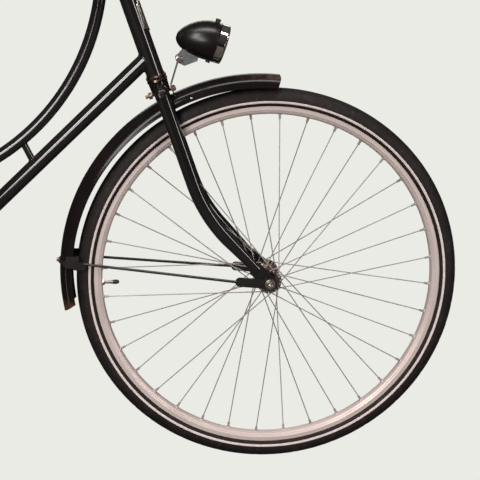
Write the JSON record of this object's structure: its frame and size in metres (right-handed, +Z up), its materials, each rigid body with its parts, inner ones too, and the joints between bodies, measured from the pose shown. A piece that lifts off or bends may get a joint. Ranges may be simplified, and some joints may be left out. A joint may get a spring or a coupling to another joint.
{
  "type": "step-through city bicycle",
  "caption": "Step-through city bicycle with spoked wheels, mudguards, a headlamp, a full chain case, a rear carrier and a double-leg centre stand.",
  "frame": {"origin": "on the floor, midway between the front tyre's foremost point and the rear mudguard's rearmost point, on the middle plane", "axes": "+X forward, +Y the rider's left, +Z up"},
  "size_m": [1.8638, 0.6, 1.1593],
  "materials": {
    "frame_paint": "gloss black",
    "guard_paint": "gloss black",
    "chrome": "polished, slightly aged",
    "bare_steel": "zinc plated, dulled",
    "carrier_paint": "gloss black",
    "rim_silver": "satin",
    "tyre_rubber": "matt with a pale reflecting stripe",
    "black_rubber": "matt",
    "black_plastic": "semi-matt black",
    "clear_lens": "clear, fluted",
    "red_lens": "red",
    "saddle_skin": "black, grained",
    "badge_metal": "blank pressed plate"
  },
  "bodies": {
    "frame": {"head_cups": "chrome", "head_tube": "frame_paint", "head_badge": "badge_metal", "down_tube": "frame_paint", "loop_tube": "frame_paint", "brace_tube": "frame_paint", "seat_tube": "frame_paint", "seat_clamp": "chrome", "bottom_bracket": "frame_paint", "chain_stays": "frame_paint", "seat_stays": "frame_paint", "rear_mudguard": "guard_paint", "rear_guard_stays": "bare_steel", "rear_axle": "bare_steel", "chain_case": "black_plastic", "seat_post": "chrome", "saddle_clamp": "chrome", "saddle_rails": "chrome", "saddle_springs": "chrome", "saddle_plate": "bare_steel", "saddle_cover": "saddle_skin", "carrier": "carrier_paint", "rear_lamp": "red_lens", "stand_bracket": "bare_steel"},
    "fork": {"fork_crown": "frame_paint", "fork_blades": "frame_paint", "steerer": "chrome", "crown_bolt": "bare_steel", "head_locknut": "chrome", "stem": "chrome", "handlebar": "chrome", "grips": "black_rubber", "bell": "chrome", "front_mudguard": "guard_paint", "front_guard_stays": "bare_steel", "front_axle": "bare_steel", "lamp_shell": "black_plastic", "lamp_ring": "chrome", "lamp_lens": "clear_lens", "lamp_bracket": "bare_steel", "lamp_ear": "bare_steel"},
    "front_wheel": {"front_tyre": "tyre_rubber", "front_rim": "rim_silver", "front_spokes": "bare_steel", "front_hub": "chrome", "front_valve": "bare_steel"},
    "rear_wheel": {"rear_tyre": "tyre_rubber", "rear_rim": "rim_silver", "rear_spokes": "bare_steel", "rear_hub": "chrome", "rear_valve": "bare_steel"},
    "crank": {"crank_spindle": "chrome", "crank_arm_left": "chrome", "crank_arm_right": "chrome"},
    "pedal_left": {"pedal_frame_left": "bare_steel", "pedal_rubbers_left": "black_rubber"},
    "pedal_right": {"pedal_frame_right": "bare_steel", "pedal_rubbers_right": "black_rubber"},
    "stand": {"stand_legs": "bare_steel", "stand_feet": "black_rubber"}
  },
  "joints": [
    {"name": "steering", "type": "hinge", "parent": "frame", "child": "fork", "pos_m": [0.3704, 0, 0.72133], "axis": [-0.3437, 0, 0.9391], "range_deg": [-75, 75]},
    {"name": "front_wheel_spin", "type": "hinge", "parent": "fork", "child": "front_wheel", "pos_m": [0.5819, 0, 0.35], "axis": [0, 1, 0], "continuous": true},
    {"name": "rear_wheel_spin", "type": "hinge", "parent": "frame", "child": "rear_wheel", "pos_m": [-0.5579, 0, 0.362], "axis": [0, 1, 0], "continuous": true},
    {"name": "crank_spin", "type": "hinge", "parent": "frame", "child": "crank", "pos_m": [-0.1031, 0, 0.3], "axis": [0, 1, 0], "continuous": true},
    {"name": "pedal_left_spin", "type": "hinge", "parent": "crank", "child": "pedal_left", "pos_m": [-0.24236, 0.117, 0.39751], "axis": [0, 1, 0], "continuous": true},
    {"name": "pedal_right_spin", "type": "hinge", "parent": "crank", "child": "pedal_right", "pos_m": [0.03615, -0.117, 0.20249], "axis": [0, 1, 0], "continuous": true},
    {"name": "stand_fold", "type": "hinge", "parent": "frame", "child": "stand", "pos_m": [-0.1781, 0, 0.23], "axis": [0, 1, 0], "range_deg": [0, 85]}
  ]
}
